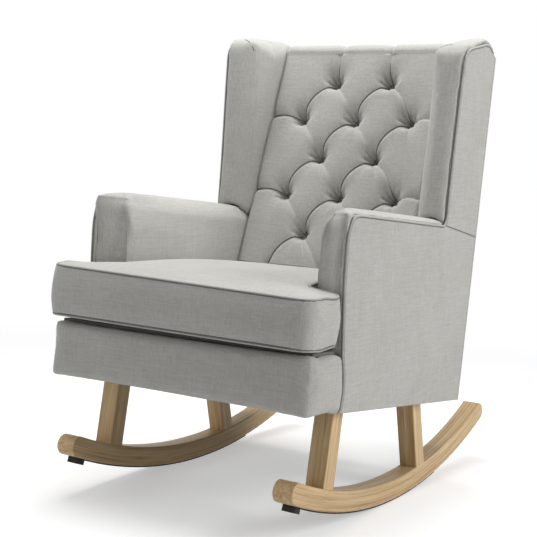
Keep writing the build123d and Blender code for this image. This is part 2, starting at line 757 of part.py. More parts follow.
def wing_shape(sign):
    """Wing padding from outside: rounded front edge, rounded top."""
    rear = rake_inner(WING_TOP)
    plan = [
        (sign * INNER_X, WING_FRONT),
        (sign * HALF, WING_FRONT),
        (sign * HALF, rear),
        (sign * INNER_X, rear),
    ]
    side = [
        (WING_FRONT, ARM_EDGE - SKIN),
        (rake_inner(ARM_EDGE - SKIN), ARM_EDGE - SKIN),
        (rear, WING_TOP),
        (WING_FRONT, WING_TOP),
    ]
    front = [
        (sign * INNER_X, ARM_EDGE - SKIN),
        (sign * HALF, ARM_EDGE - SKIN),
        (sign * HALF, WING_TOP),
        (sign * INNER_X, WING_TOP),
    ]
    shape = from_above(outline(plan, {0: WING_NOSE_R, 1: WING_PIPING - WING_FRONT}), 0, FAR)
    shape = shape & from_side(outline(side, {3: WING_NOSE_R}), sign * INNER_X, sign * HALF)
    return shape & from_front(outline(front, {2: SKIN, 3: WING_TOP_R}), WING_FRONT, rear)


def wing_pads(covers, frame, arms):
    made = {}
    for side, sign in SIDES.items():
        pad = wing_shape(sign)
        behind = [
            (post_front(0) - WEB_T - SOFT_GAP, 0),
            (FAR, 0),
            (FAR, POST_TOP),
            (pad_rear(POST_TOP), POST_TOP),
        ]
        pad = pad - from_side(outline(behind), sign * INNER_X, sign * RAIL_X)
        for name in ("wing_panel", "side_panel"):
            pad = pad - covers[f"{name}_{side}"]
        pad = pad - frame[f"wing_board_{side}"] - frame[f"arm_rail_{side}"] - arm_shape(sign)
        made[f"wing_pad_{side}"] = solid_of(pad)
    return made


def back_panel():
    foot = under(RAKE_FOOT)
    top = WING_COVER_TOP
    points = [
        (rake_inner(foot), foot),
        (rake(foot), foot),
        (rake(top), top),
        (rake_inner(top), top),
    ]
    panel = from_side(outline(points), -HALF, HALF)
    long_edges = [e for e in panel.edges() if e.length > WIDTH]
    rear_corners = [
        e for e in long_edges if abs(abs(e.center().X) - HALF) < 1 and e.center().Y > rake(e.center().Z) - 1
    ]
    return {"back_panel": fillet(rear_corners, SKIN - 2)}


def button_places():
    """Middle of each button's front face, with the direction that it looks in."""
    for row in BUTTON_ROWS:
        z = BUTTON_Z + row * BUTTON_PITCH_Z
        shifts = (-0.5, 0.5) if row % 2 else (-1.0, 0.0, 1.0)
        for shift in shifts:
            yield shift * BUTTON_PITCH_X, button_face(z), z


def button_plane(x, y, z):
    out = Vector(0, -1, BUTTON_SLOPE)
    return Plane(origin=(x, y, z), x_dir=(1, 0, 0), z_dir=out)


def back_pad():
    face_top = button_face(BACK_TOP) - PAD_PROUD
    face_low = button_face(PAD_HEM + 24) - PAD_PROUD
    rear_top = rake_inner(POST_TOP)
    hem = DECK_TOP + SOFT_GAP
    points = [
        (face_top, BACK_TOP),
        (face_low, PAD_HEM + 24),
        (face_low + 16, PAD_HEM),
        (TAIL_Y, PAD_HEM),
        (TAIL_Y, hem),
        (TAIL_Y + TAIL_T, hem),
        (TAIL_Y + TAIL_T, PAD_HEM - 40),
        (pad_rear(PAD_HEM), PAD_HEM),
        (pad_rear(POST_TOP), POST_TOP),
        (rear_top, POST_TOP),
        (rake_inner(BACK_TOP), BACK_TOP),
    ]
    half = INNER_X - SOFT_GAP / 2
    pad = from_side(outline(points, {0: BACK_ROLL_R}), -half, half)
    buttons = []
    for x, y, z in button_places():
        front = button_plane(x, y, z)
        well = Cylinder(BUTTON_WELL_R, FAR / 10, align=(Align.CENTER, Align.CENTER, Align.MIN))
        pad = pad - front * Pos(0, 0, -BUTTON_T) * well
        button = Cylinder(BUTTON_R, BUTTON_T, align=(Align.CENTER, Align.CENTER, Align.MAX))
        buttons.append(front * fillet(button.edges().group_by(Axis.Z)[-1], BUTTON_T / 3))
    return {"back_pad": pad, "back_buttons": buttons}


# --- seat cushion and its zip ----------------------------------------------------------------------
def seat_cushion():
    narrow = INNER_X - CUSHION_SIDE_GAP
    edges = t_outline(
        CUSHION_FRONT,
        CUSHION_REAR,
        HALF,
        narrow,
        ARM_FRONT - CUSHION_EAR_GAP,
        CUSHION_CORNER_R,
        CUSHION_EAR_R,
    )
    block_shape = from_above(edges, CUSHION_FOOT, BACK_TOP)
    middle = (CUSHION_FRONT + CUSHION_REAR) / 2
    low = CUSHION_FOOT - 1
    side = [
        Line((CUSHION_FRONT, low), (CUSHION_REAR, low)),
        Line((CUSHION_REAR, low), (CUSHION_REAR, CUSHION_BACK_TOP - 6)),
        ThreePointArc(
            (CUSHION_REAR, CUSHION_BACK_TOP - 6),
            (middle, CUSHION_BACK_TOP),
            (CUSHION_FRONT, CUSHION_EDGE),
        ),
        Line((CUSHION_FRONT, CUSHION_EDGE), (CUSHION_FRONT, low)),
    ]
    return {"seat_cushion": block_shape & from_side(side, -HALF, HALF)}


def zip_band(half_length, width, y0, y1):
    return block(-half_length, half_length, y0, y1, ZIP_Z - width / 2, ZIP_Z + width / 2)


def cushion_zip():
    face = CUSHION_REAR
    tape = zip_band(ZIP_LENGTH / 2, ZIP_TAPE_W, face, face + ZIP_TAPE_T)
    chain_end = face + ZIP_TAPE_T + ZIP_CHAIN_T
    chain = zip_band(ZIP_LENGTH / 2 - SLIDER_L / 2, ZIP_CHAIN_W, face + ZIP_TAPE_T, chain_end)
    start = -ZIP_LENGTH / 2 + SLIDER_L
    y0 = face + ZIP_TAPE_T + SLIDER_PLAY
    y1 = chain_end + SLIDER_PLAY + SLIDER_WALL
    half = ZIP_CHAIN_W / 2 + SLIDER_PLAY + SLIDER_WALL
    channel = ZIP_CHAIN_W / 2 + SLIDER_PLAY
    x0 = start - SLIDER_L
    x1 = start + SLIDER_L
    body = block(start - SLIDER_L / 2, start + SLIDER_L / 2, y0, y1, ZIP_Z - half, ZIP_Z + half)
    gap = block(x0, x1, y0 - 1, y1 - SLIDER_WALL, ZIP_Z - channel, ZIP_Z + channel)
    pull = block(
        start - PULL_W / 2, start + PULL_W / 2, y1, y1 + PULL_T, ZIP_Z - half - PULL_L + 8, ZIP_Z + half - 1
    )
    eye = Plane(origin=(start, y1 - 1, ZIP_Z - half - PULL_L + 12), z_dir=(0, 1, 0)) * Cylinder(
        PULL_W / 4, 3 * PULL_T, align=(Align.CENTER, Align.CENTER, Align.MIN)
    )
    return {"cushion_zip": tape + chain, "zip_slider": body - gap, "zip_pull": pull - eye}


# --- assembly --------------------------------------------------------------------------------------
def build():
    parts = {}
    for group in (legs, leg_blocks, rockers, seat_frame, back_frame, arm_frame, wing_boards):
        parts.update(group())
    for group in (springs, webbing, deck, dust_cover, front_border, side_panels, wing_panels):
        parts.update(group())
    parts.update(back_panel())
    parts.update(back_pad())
    parts.update(arm_pads(parts, parts))
    parts.update(wing_pads(parts, parts, parts))
    parts.update(seat_cushion())
    parts.update(cushion_zip())
    return parts


def solids_in(shape):
    shapes = shape if isinstance(shape, list) else [shape]
    return [solid for each in shapes for solid in each.solids()]


def at_rest(parts):
    """Turn the chair to its balance and stand it on the floor, its box centred on X and Y."""
    turned = {name: [Rot(X=-REST_TILT) * s for s in solids_in(shape)] for name, shape in parts.items()}
    boxes = [s.bounding_box() for group in turned.values() for s in group]
    middle_y = (min(b.min.Y for b in boxes) + max(b.max.Y for b in boxes)) / 2
    tilt = radians(REST_TILT)
    centre_z = ROCKER_CENTRE_Z * cos(tilt) - ROCKER_CENTRE_Y * sin(tilt)
    floor = centre_z - ROCKER_R - STRIP_PROUD
    shift = Pos(0, -middle_y, -floor)
    return {name: [shift * s for s in group] for name, group in turned.items()}


def main():
    os.makedirs("parts", exist_ok=True)
    for name, group in at_rest(build()).items():
        shape = group[0] if len(group) == 1 else Compound(group)
        export_step(shape, f"parts/{name}.step")
        print(name, len(group))


main()
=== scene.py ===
from math import atan2, cos, pi, radians, sin, sqrt

import bmesh
import bpy
import numpy as np
from mathutils import Matrix, Vector
from mathutils.bvhtree import BVHTree


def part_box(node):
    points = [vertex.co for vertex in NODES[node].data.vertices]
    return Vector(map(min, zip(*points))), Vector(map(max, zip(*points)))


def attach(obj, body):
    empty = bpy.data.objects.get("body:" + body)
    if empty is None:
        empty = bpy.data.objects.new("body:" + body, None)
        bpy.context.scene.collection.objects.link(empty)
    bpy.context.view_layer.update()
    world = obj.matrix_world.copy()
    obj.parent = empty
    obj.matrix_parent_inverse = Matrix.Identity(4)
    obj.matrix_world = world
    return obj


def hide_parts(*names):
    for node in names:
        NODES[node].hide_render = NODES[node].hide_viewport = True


# Upholstered wingback rocking chair. The pieces are laid out in millimetres in the chair's body frame:
# X across, Y rearwards from the front of the base, Z up from the base's bottom edge. body_to_room()
# leans that frame back to where the chair balances and stands it on the floor, in metres.

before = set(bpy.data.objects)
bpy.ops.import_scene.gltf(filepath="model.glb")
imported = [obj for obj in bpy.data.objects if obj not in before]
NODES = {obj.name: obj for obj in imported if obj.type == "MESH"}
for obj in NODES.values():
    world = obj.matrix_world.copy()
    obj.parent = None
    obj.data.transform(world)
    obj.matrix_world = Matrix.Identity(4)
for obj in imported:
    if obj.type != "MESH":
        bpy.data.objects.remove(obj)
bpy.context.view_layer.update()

MM = 0.001
LEAN = radians(3.7)

# --- sizes that the covers share with the frame ------------------------------------------------------
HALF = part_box("front_border")[1].x / MM
ARM_W = 81.5
INNER_X = HALF - ARM_W
BORDER_DEPTH = 124.0
BORDER_HEIGHT = 121.0
RAKE_FOOT = 764.0
RAKE_SLOPE = 0.0594
SKIN = 12.0
BACK_TOP = 852.0
ROCKER_R = 1274.0
ROCKER_CENTRE_Y = 417.4
ROCKER_CENTRE_Z = 1040.1
ARM_FRONT = 106.0
ARM_NOSE_R = 60.0
ARM_EDGE = 397.0
WING_TOP = 842.0
WING_NOSE_R = 34.0
WING_PIPING = 590.0
WING_CREST = {"left": 4.0, "right": -21.0}  # the stuffing lifts or drops the front of each wing's top
WING_FLARE = 8.0
WING_REAR_LIFT = 20.0  # where each wing's top meets the back's
ARM_CORNER_R = 34.0  # the stuffed corner is tighter than the frame's own nose
ARM_CROWN_IN = 12.0  # the inner side leans out by this much at the arm's front top
# (height, set-back) of the arm's front on its inner side
INNER_NOSE = [(120, 24), (312, 24), (350, 27), (385, 34), (412, 46)]
# (height, place) of each side's front edge: it swells at the base and draws forward under the arm
SIDE_EDGE = [(-2, 129), (14, 135), (45, 139), (81, 135), (120, 122), (178, 116), (257, 106), (320, 103)]

BORDER_ROLL = 9.0
BOXING_SWELL = 6.0
PAD_VOXEL = 5.0
CUSHION_VOXEL = 6.0
SIDES = {"left": -1, "right": 1}

# --- tufting ---------------------------------------------------------------------------------------------
BUTTON_Z = 453.0
BUTTON_FACE_Y = 651.7
BUTTON_SLOPE = 0.286
PITCH_X = 153.0
PITCH_Z = 99.0
PAD_PROUD = 25.0
PAD_FOOT = 270.0
PAD_HALF = INNER_X - 0.2
BUTTON_R = 8.5
BUTTON_SINK = 15.0
PUFF = 5.0  # the tufts stand this far proud of the frame's own pad
WELL_DEPTH = 47.0
FOLD_SHADE_R = 1.0
FOLD_SHADE_OFFSET = 3.5  # the fold's dark line of painted shade shows on the gentle side of its pleat
FOLD_STEEP = 5.0  # a pleat whose steep side is narrower than this closes to a fold, drawn as a dark line of painted shade
GRID_STEP = 2.0

# --- seams -----------------------------------------------------------------------------------------------
WELT_R = 2.7
WELT_SINK = 0.2
# The ditch and seam cords are darker lines of painted shade: the shadow in the ditch beside each welt and in
# each seam's groove.
DITCH_SHADE_R = 3.9
DITCH_SHADE_SINK = 2.0
SEAM_SHADE_R = 1.2
SEAM_SHADE_SINK = 0.5


def body_to_room():
    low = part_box("front_border")[0]
    origin = Vector((0, low.y, low.z + BORDER_DEPTH * MM * sin(LEAN)))
    return Matrix.Translation(origin) @ Matrix.Rotation(-LEAN, 4, "X") @ Matrix.Scale(MM, 4)


BODY = body_to_room()


# --- making pieces ---------------------------------------------------------------------------------------
def link(name, mesh):
    piece = bpy.data.objects.new(name, mesh)
    bpy.context.scene.collection.objects.link(piece)
    return piece


def finish_piece(piece, material, body="chair", stands_for=()):
    piece.data.materials.clear()
    piece.data.materials.append(material)
    piece.data.polygons.foreach_set("use_smooth", [True] * len(piece.data.polygons))
    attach(piece, body)
    if stands_for:
        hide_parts(*stands_for)
    return piece


def piece_from(bm, name):
    """A piece from a bmesh drawn in the body frame."""
    bmesh.ops.recalc_face_normals(bm, faces=bm.faces)
    mesh = bpy.data.meshes.new(name)
    bm.to_mesh(mesh)
    bm.free()
    mesh.transform(BODY)
    return link(name, mesh)


def evaluated_mesh(piece):
    graph = bpy.context.evaluated_depsgraph_get()
    return bpy.data.meshes.new_from_object(piece.evaluated_get(graph))


def apply_modifiers(piece):
    mesh = evaluated_mesh(piece)
    piece.modifiers.clear()
    piece.data = mesh
    return piece


def cad_bmesh(node):
    """The node's mesh, merged and brought to the body frame."""
    bm = bmesh.new()
    bm.from_mesh(NODES[node].data)
    bm.transform(BODY.inverted())
    bmesh.ops.remove_doubles(bm, verts=bm.verts, dist=0.02)
    return bm


def round_edges(bm, radius, angle=40):
    """Join flat faces and round every edge sharper than angle degrees."""
    bmesh.ops.dissolve_limit(bm, angle_limit=radians(2), verts=bm.verts, edges=bm.edges)
    sharp = [e for e in bm.edges if len(e.link_faces) == 2 and e.calc_face_angle(0) > radians(angle)]
    bmesh.ops.bevel(
        bm, geom=sharp, offset=radius, offset_type="OFFSET", segments=3, profile=0.5,
        affect="EDGES", material=-1, clamp_overlap=True,
    )


def slice_up(bm, step):
    """Cut the bmesh across Y and Z every step millimetres, so that it can be shaped."""
    for axis in (1, 2):
        places = [v.co[axis] for v in bm.verts]
        count = int((max(places) - min(places)) / step)
        for k in range(1, count + 1):
            place = Vector((0, 0, 0))
            place[axis] = min(places) + k * step
            across = Vector((0, 0, 0))
            across[axis] = 1
            bmesh.ops.bisect_plane(
                bm, geom=bm.verts[:] + bm.edges[:] + bm.faces[:], dist=0.01, plane_co=place, plane_no=across
            )


def soften(piece, times, factor=0.5):
    smooth = piece.modifiers.new("soften", "SMOOTH")
    smooth.iterations = times
    smooth.factor = factor
    return apply_modifiers(piece)


def remeshed(node, name, voxel, smoothing, edge_radius=0.0):
    """A copy of a node's mesh in even quads, with its edges eased."""
    bm = cad_bmesh(node)
    if edge_radius:
        round_edges(bm, edge_radius)
    piece = piece_from(bm, name)
    remesh = piece.modifiers.new("even", "REMESH")
    remesh.mode = "VOXEL"
    remesh.voxel_size = voxel * MM
    apply_modifiers(piece)
    return soften(piece, smoothing)


def points_of(mesh):
    co = np.zeros(len(mesh.vertices) * 3)
    mesh.vertices.foreach_get("co", co)
    return co.reshape(-1, 3)


def put_points(mesh, points):
    mesh.vertices.foreach_set("co", np.asarray(points, np.float32).ravel())
    mesh.update()


def sculpt(piece, shape):
    """Move the piece's points; shape takes their x, y, z in the body frame and gives them back moved."""
    back = np.array(BODY.inverted())
    forth = np.array(BODY)
    points = points_of(piece.data) @ back[:3, :3].T + back[:3, 3]
    points = np.column_stack(shape(*points.T))
    put_points(piece.data, points @ forth[:3, :3].T + forth[:3, 3])
    return piece


def eased(value, start, end):
    """0 at start, 1 at end, smooth between."""
    t = np.clip((value - start) / (end - start), 0, 1)
    return t * t * (3 - 2 * t)


def inflate(piece, pressure, cap, pinned=None, frames=20):
    """Blow the pad up like a stuffed cover; no point moves further than cap millimetres."""
    before = points_of(piece.data)
    cloth = piece.modifiers.new("stuffing", "CLOTH")
    cloth.settings.use_pressure = True
    cloth.settings.uniform_pressure_force = pressure
    cloth.settings.effector_weights.gravity = 0
    cloth.settings.quality = 4
    cloth.settings.mass = 0.3
    cloth.settings.bending_stiffness = 0.5
    cloth.collision_settings.use_collision = False
    if pinned is not None:
        group = piece.vertex_groups.new(name="sewn")
        group.add([int(i) for i in np.nonzero(pinned)[0]], 1.0, "REPLACE")
        cloth.settings.vertex_group_mass = "sewn"
    scene = bpy.context.scene
    for frame_number in range(1, frames + 1):
        scene.frame_set(frame_number)
    after = points_of(evaluated_mesh(piece))
    piece.modifiers.clear()
    piece.vertex_groups.clear()
    scene.frame_set(1)
    move = after - before
    length = np.linalg.norm(move, axis=1, keepdims=True) + 1e-9
    limit = cap * MM
    put_points(piece.data, before + move / length * limit * np.tanh(length / limit))
    return piece


# --- seams and welts -------------------------------------------------------------------------------------
def rim(bm, is_rim):
    """The points, in order, of the closed chain of edges that is_rim picks."""
    picked = {e for e in bm.edges if len(e.link_faces) == 2 and is_rim(*[f.normal for f in e.link_faces])}
    edge = next(iter(picked))
    start = edge.verts[0]
    vertex = edge.verts[1]
    chain = [start.co.copy()]
    picked.discard(edge)
    while vertex is not start:
        chain.append(vertex.co.copy())
        edge = next(e for e in vertex.link_edges if e in picked)
        picked.discard(edge)
        vertex = edge.other_vert(vertex)
    return chain


def resampled(points, step, closed=False):
    """Points every step millimetres along a line through points."""
    path = [Vector(p) for p in points]
    if closed:
        path.append(path[0])
    lengths = [(b - a).length for a, b in zip(path, path[1:])]
    count = max(2, round(sum(lengths) / step))
    found = []
    for k in range(count if closed else count + 1):
        left = sum(lengths) * k / count
        i = 0
        while i < len(lengths) - 1 and left > lengths[i]:
            left -= lengths[i]
            i += 1
        found.append(path[i].lerp(path[i + 1], min(1.0, left / max(lengths[i], 1e-9))))
    return found


def cord_piece(name, lines, radius, closed=False, sides=3):
    """Round cords along lines of points in the body frame."""
    curve = bpy.data.curves.new(name, "CURVE")
    curve.dimensions = "3D"
    curve.bevel_depth = radius * MM
    curve.bevel_resolution = sides
    curve.use_fill_caps = True
    for points in lines:
        spline = curve.splines.new("NURBS")
        spline.points.add(len(points) - 1)
        for place, point in zip(spline.points, points):
            place.co = (*(BODY @ Vector(point)), 1)
        spline.use_cyclic_u = closed
        spline.order_u = 3
        spline.use_endpoint_u = not closed
        spline.resolution_u = 3
    line = link(name, curve)
    mesh = evaluated_mesh(line)
    bpy.data.objects.remove(line)
    return link(name, mesh)


def evened(rows, closed, reach):
    """Each row averaged with its neighbours along the line."""
    longer = np.pad(rows, ((reach, reach), (0, 0)), "wrap" if closed else "edge")
    return sum(longer[k:k + len(rows)] for k in range(2 * reach + 1)) / (2 * reach + 1)


def lying_on(pieces, points, closed=False):
    """The places nearest to points on the pieces' surfaces, and the directions out of them."""
    places, faces = [], []
    for piece in pieces:
        faces += [[i + len(places) for i in p.vertices] for p in piece.data.polygons]
        places += [v.co for v in piece.data.vertices]
    tree = BVHTree.FromPolygons(places, faces)
    back = BODY.inverted()
    nearest = [tree.find_nearest(BODY @ Vector(point)) for point in points]
    found = evened(np.array([back @ n[0] for n in nearest]), closed, 1)
    nearest = [tree.find_nearest(BODY @ Vector(place)) for place in found]
    found = np.array([back @ n[0] for n in nearest])
    out = evened(np.array([(back.to_3x3() @ n[1]).normalized() for n in nearest]), closed, 3)
    return found, out / np.linalg.norm(out, axis=1, keepdims=True)


def welt(name, points, on, body="chair", closed=False):
    """A covered piping cord, with a wider dark cord sunk beneath it: painted shade standing for the shaded
    ditch of its seam.
    """
    places, out = lying_on(on, points, closed)
    # the ditch cord is painted shade: a darker linen where the ditch beside the welt falls in shadow
    lines = (("", WELT_R, WELT_SINK, WELT), ("_ditch_shade", DITCH_SHADE_R, DITCH_SHADE_SINK, SHADE_LINEN))
    for ending, radius, sink, material in lines:
        cord = cord_piece(name + ending, [places - out * sink], radius, closed)
        finish_piece(cord, material, body)


def seam(name, points, on, shade):
    """A plain sewn seam: a thin cord in the colour given, sunk into the cloth; in the darker linens it is
    painted shade standing for the seam's groove.
    """
    places, out = lying_on(on, resampled(points, 8.0))
    cord = cord_piece(name, [places - out * SEAM_SHADE_SINK], SEAM_SHADE_R, sides=1)
    finish_piece(cord, shade, "chair")


# --- node helpers ----------------------------------------------------------------------------------------
class Nodes:
    """Adds nodes to a tree and joins them."""

    def __init__(self, tree):
        self.tree = tree

    def add(self, kind, **values):
        node = self.tree.nodes.new(kind)
        for key, value in values.items():
            setattr(node, key, value)
        return node

    def join(self, a, b):
        self.tree.links.new(a, b)

    def maths(self, operation, a, b=None, c=None, clamp=False):
        node = self.add("ShaderNodeMath", operation=operation, use_clamp=clamp)
        for socket, value in zip(node.inputs, (a, b, c)):
            if value is None:
                continue
            if isinstance(value, (int, float)):
                socket.default_value = value
            else:
                self.join(value, socket)
        return node.outputs[0]

    def noise(self, vector, scale, detail=2.0, roughness=0.5, stretch=None):
        if stretch is not None:
            mapping = self.add("ShaderNodeMapping")
            mapping.inputs["Scale"].default_value = stretch
            self.join(vector, mapping.inputs["Vector"])
            vector = mapping.outputs[0]
        node = self.add("ShaderNodeTexNoise")
        node.inputs["Scale"].default_value = scale
        node.inputs["Detail"].default_value = detail
        node.inputs["Roughness"].default_value = roughness
        self.join(vector, node.inputs["Vector"])
        return node.outputs["Fac"]

    def blend(self, factor, a, b):
        node = self.add("ShaderNodeMix", data_type="RGBA")
        for socket, value in ((node.inputs[0], factor), (node.inputs[6], a), (node.inputs[7], b)):
            if isinstance(value, (int, float)):
                socket.default_value = value
            elif isinstance(value, tuple):
                socket.default_value = value
            else:
                self.join(value, socket)
        return node.outputs[2]

    def ramp(self, value, low, high):
        node = self.add("ShaderNodeMapRange")
        node.inputs["From Min"].default_value = low
        node.inputs["From Max"].default_value = high
        self.join(value, node.inputs["Value"])
        return node.outputs[0]


def group(name, inputs, outputs):
    tree = bpy.data.node_groups.new(name, "ShaderNodeTree")
    for label, kind, value in inputs:
        socket = tree.interface.new_socket(label, in_out="INPUT", socket_type=kind)
        if value is not None:
            socket.default_value = value
    for label, kind in outputs:
        tree.interface.new_socket(label, in_out="OUTPUT", socket_type=kind)
    nodes = Nodes(tree)
    return tree, nodes, nodes.add("NodeGroupInput").outputs, nodes.add("NodeGroupOutput").inputs


def new_material(name, roughness, specular=0.5, metallic=0.0):
    material = bpy.data.materials.new(name)
    material.use_nodes = True
    nodes = Nodes(material.node_tree)
    shader = material.node_tree.nodes["Principled BSDF"]
    shader.inputs["Roughness"].default_value = roughness
    shader.inputs["Specular IOR Level"].default_value = specular
    shader.inputs["Metallic"].default_value = metallic
    where = nodes.add("ShaderNodeTexCoord").outputs["Object"]
    return material, nodes, shader, where


def linear(r, g, b):
    """A colour given in display values from 0 to 255."""
    shares = [v / 255 for v in (r, g, b)]
    return tuple(((v + 0.055) / 1.055) ** 2.4 if v > 0.04 else v / 12.92 for v in shares) + (1.0,)


# --- materials -------------------------------------------------------------------------------------------
def weave_group():
    """Plain weave with slubs: Tone shades the colour, Height is the relief of the yarns."""
    tree, n, given, out = group(
        "linen_weave",
        [("Vector", "NodeSocketVector", None), ("Yarn", "NodeSocketFloat", 0.9)],
        [("Tone", "NodeSocketFloat"), ("Height", "NodeSocketFloat")],
    )
    where = given["Vector"]
    stretches = ((36, 900, 900), (900, 36, 900), (900, 900, 44))
    fine = [n.noise(where, 1.0, 2, 0.6, stretch) for stretch in stretches]
    slubs = n.maths("ADD", n.maths("ADD", fine[0], fine[1]), fine[2])
    stretches = ((16, 380, 380), (380, 16, 380), (380, 380, 20))
    thick = [n.noise(where, 1.0, 1, 0.5, stretch) for stretch in stretches]
    streaks = n.maths("ADD", n.maths("ADD", thick[0], thick[1]), thick[2])
    cloud = n.noise(where, 6.0, 2, 0.5)
    tone = n.maths("MULTIPLY_ADD", slubs, 0.4, n.maths("MULTIPLY", streaks, 0.3))
    tone = n.maths("MULTIPLY_ADD", cloud, 0.2, tone)
    n.join(n.ramp(tone, 0.85, 1.45), out["Tone"])
    apart = n.add("ShaderNodeSeparateXYZ")
    n.join(where, apart.inputs[0])
    turns = n.maths("DIVIDE", 2 * pi / MM, given["Yarn"])
    waves = [n.maths("SINE", n.maths("MULTIPLY", apart.outputs[k], turns)) for k in range(3)]
    yarns = n.maths("ADD", n.maths("MULTIPLY", waves[0], waves[2]), n.maths("MULTIPLY", waves[1], waves[2]))
    yarns = n.maths("ADD", yarns, n.maths("MULTIPLY", waves[0], waves[1]))
    height = n.maths("ADD", n.maths("MULTIPLY", yarns, 0.12), n.maths("MULTIPLY", slubs, 0.9))
    n.join(height, out["Height"])
    return tree


def grain_group():
    """Straight timber grain along Z of the vector given."""
    tree, n, given, out = group(
        "timber_grain",
        [("Vector", "NodeSocketVector", None)],
        [("Figure", "NodeSocketFloat"), ("Pores", "NodeSocketFloat")],
    )
    where = given["Vector"]
    bands = n.noise(where, 1.0, 4, 0.6, (70, 70, 2.0))
    rings = n.noise(where, 1.0, 3, 0.6, (260, 260, 3.5))
    figure = n.maths("MULTIPLY_ADD", rings, 0.6, n.maths("MULTIPLY", bands, 0.4))
    n.join(n.ramp(figure, 0.31, 0.70), out["Figure"])
    pores = n.noise(where, 1.0, 2, 0.7, (620, 620, 14))
    n.join(n.ramp(pores, 0.56, 0.68), out["Pores"])
    return tree


WEAVE = weave_group()
GRAIN = grain_group()


def linen(name, light, dark, yarn=0.9, relief=0.35):
    material, n, shader, where = new_material(name, 0.92, 0.2)
    weave = n.add("ShaderNodeGroup", node_tree=WEAVE)
    n.join(where, weave.inputs["Vector"])
    weave.inputs["Yarn"].default_value = yarn
    n.join(n.blend(weave.outputs["Tone"], dark, light), shader.inputs["Base Color"])
    bump = n.add("ShaderNodeBump")
    bump.inputs["Strength"].default_value = relief
    bump.inputs["Distance"].default_value = 0.0006
    n.join(weave.outputs["Height"], bump.inputs["Height"])
    n.join(bump.outputs[0], shader.inputs["Normal"])
    shader.inputs["Sheen Weight"].default_value = 0.25
    shader.inputs["Sheen Roughness"].default_value = 0.5
    return material


def timber(name, light, dark, turn=(0, 0, 0), bend_centre=None, roughness=0.45):
    """turn brings the grain to Z; a bend centre (Y and Z in the room) makes the grain follow the bend."""
    material, n, shader, where = new_material(name, roughness, 0.35)
    mapping = n.add("ShaderNodeMapping")
    n.join(where, mapping.inputs["Vector"])
    grain = n.add("ShaderNodeGroup", node_tree=GRAIN)
    if bend_centre:
        mapping.inputs["Location"].default_value = (0, -bend_centre[0], -bend_centre[1])
        apart = n.add("ShaderNodeSeparateXYZ")
        n.join(mapping.outputs[0], apart.inputs[0])
        x, y, z = apart.outputs
        radius = n.maths("SQRT", n.maths("MULTIPLY_ADD", y, y, n.maths("MULTIPLY", z, z)))
        angle = n.maths("ARCTAN2", y, n.maths("MULTIPLY", z, -1.0))
        bent = n.add("ShaderNodeCombineXYZ")
        n.join(x, bent.inputs[0])
        n.join(radius, bent.inputs[1])
        n.join(n.maths("MULTIPLY", angle, ROCKER_R * MM), bent.inputs[2])
        n.join(bent.outputs[0], grain.inputs["Vector"])
    else:
        mapping.inputs["Rotation"].default_value = turn
        n.join(mapping.outputs[0], grain.inputs["Vector"])
    colour = n.blend(grain.outputs["Figure"], dark, light)
    pore = tuple(v * 0.5 for v in dark[:3]) + (1.0,)
    colour = n.blend(n.maths("MULTIPLY", grain.outputs["Pores"], 0.5), colour, pore)
    n.join(colour, shader.inputs["Base Color"])
    bump = n.add("ShaderNodeBump")
    bump.inputs["Strength"].default_value = 0.25
    bump.inputs["Distance"].default_value = 0.0004
    n.join(grain.outputs["Figure"], bump.inputs["Height"])
    n.join(bump.outputs[0], shader.inputs["Normal"])
    return material


def speckled(name, light, dark, scale, roughness, specular=0.4, metallic=0.0, stretch=None, relief=0.2):
    """A plain finish broken up by a fine noise: rubber, steel, webbing and the cloths underneath."""
    material, n, shader, where = new_material(name, roughness, specular, metallic)
    mottle = n.noise(where, scale, 3, 0.6, stretch)
    n.join(n.blend(n.ramp(mottle, 0.3, 0.7), dark, light), shader.inputs["Base Color"])
    bump = n.add("ShaderNodeBump")
    bump.inputs["Strength"].default_value = relief
    bump.inputs["Distance"].default_value = 0.0005
    n.join(mottle, bump.inputs["Height"])
    n.join(bump.outputs[0], shader.inputs["Normal"])
    return material


COVER = linen("grey_linen", linear(199, 198, 194), linear(158, 157, 151))
WELT = linen("grey_linen_welt", linear(190, 189, 185), linear(154, 153, 148), 0.7)
# The seam_shade linen is a darker copy of the cover: painted shade for the ditches beside the welts, the seam
# lines and the sunken buttons.
SHADE_LINEN = linen("seam_shade", linear(130, 129, 126), linear(104, 103, 100), 0.7)
# The fold_shade linen is darker still: painted shade for the closed pleats and the wing darts.
DEEP_SHADE_LINEN = linen("fold_shade", linear(84, 83, 81), linear(62, 61, 60), 0.7)
OAK_LIGHT = linear(230, 204, 158)
OAK_DARK = linear(168, 130, 85)
ROCKER_CENTRE = BODY @ Vector((0, ROCKER_CENTRE_Y, ROCKER_CENTRE_Z))
FRONT_LEG_OAK = timber("oak_front_leg", OAK_LIGHT, OAK_DARK, (radians(9.2), 0, 0))
REAR_LEG_OAK = timber("oak_rear_leg", OAK_LIGHT, OAK_DARK, (radians(-14.9), 0, 0))
ROCKER_OAK = timber("oak_rocker", OAK_LIGHT, OAK_DARK, bend_centre=(ROCKER_CENTRE.y, ROCKER_CENTRE.z))
BEECH = timber("frame_beech", linear(206, 178, 138), linear(178, 146, 104), roughness=0.6)
RUBBER = speckled("black_rubber", linear(38, 38, 38), linear(24, 24, 24), 900, 0.75)
STEEL = speckled("zinc_steel", linear(176, 178, 182), linear(150, 152, 156), 300, 0.32, 0.5, 1.0)
WEBBING = speckled(
    "woven_webbing", linear(214, 206, 188), linear(176, 166, 146), 1.0, 0.9, 0.2, 0.0, (60, 900, 900), 0.6
)
DUST_CLOTH = speckled("black_dust_cloth", linear(46, 46, 47), linear(30, 30, 31), 700, 0.95, 0.2)
